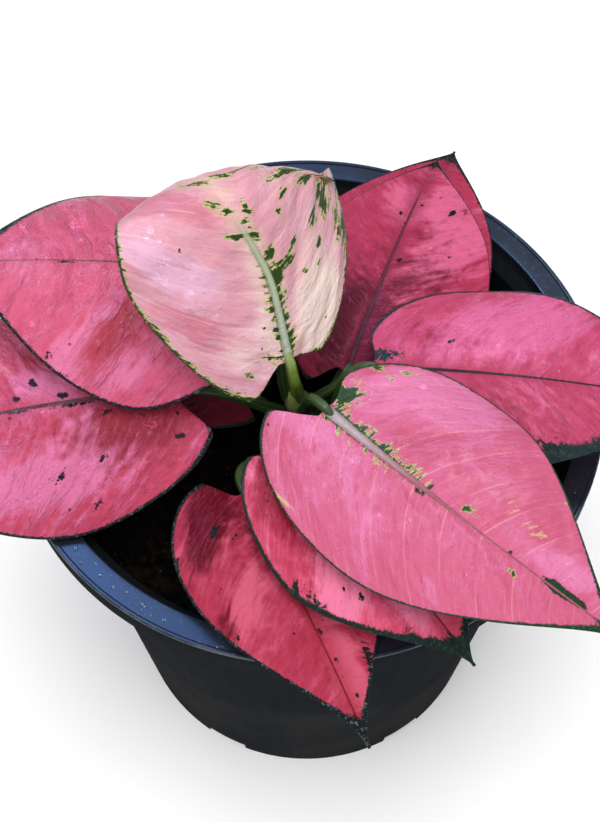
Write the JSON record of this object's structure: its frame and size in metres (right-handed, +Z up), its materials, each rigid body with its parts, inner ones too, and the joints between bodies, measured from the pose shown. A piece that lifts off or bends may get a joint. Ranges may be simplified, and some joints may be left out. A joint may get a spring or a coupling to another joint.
{
  "type": "potted chinese evergreen",
  "caption": "Potted chinese evergreen with broad heart-shaped pink leaves marked with green, on green stalks from a short cane, in a tapered plastic nursery pot of soil.",
  "frame": {"origin": "on the pot's axis, in the plane of its flat underside", "axes": "+Z up along the pot's axis, -Y towards the front, from where the plant is seen; +X to the right"},
  "size_m": [0.2929, 0.2368, 0.2914],
  "materials": {
    "leaf_pink": "waxy leaf, pink with green mottling and margins",
    "leaf_cream": "waxy young leaf, pale pink to cream with dark green splashes",
    "leaf_crimson": "waxy leaf, crimson with a dark green margin",
    "stalk": "smooth green leaf stalk",
    "cane": "green-brown stem with ring scars",
    "soil": "dark moist potting soil",
    "pot": "black plastic, satin and dusty"
  },
  "bodies": {
    "root": {"pot": "pot", "soil": "soil", "cane": "cane", "leaf_young_upright_blade": "leaf_cream", "leaf_young_upright_stalk": "stalk", "leaf_left_upper_blade": "leaf_pink", "leaf_left_upper_stalk": "stalk", "leaf_left_lower_blade": "leaf_pink", "leaf_left_lower_stalk": "stalk", "leaf_back_right_upper_blade": "leaf_pink", "leaf_back_right_upper_stalk": "stalk", "leaf_back_right_lower_blade": "leaf_pink", "leaf_back_right_lower_stalk": "stalk", "leaf_right_blade": "leaf_pink", "leaf_right_stalk": "stalk", "leaf_front_right_blade": "leaf_pink", "leaf_front_right_stalk": "stalk", "leaf_front_upper_blade": "leaf_crimson", "leaf_front_upper_stalk": "stalk", "leaf_front_lower_blade": "leaf_crimson", "leaf_front_lower_stalk": "stalk", "leaf_left_lowest_blade": "leaf_crimson", "leaf_left_lowest_stalk": "stalk", "leaf_back_lowest_blade": "leaf_crimson", "leaf_back_lowest_stalk": "stalk"}
  },
  "joints": []
}
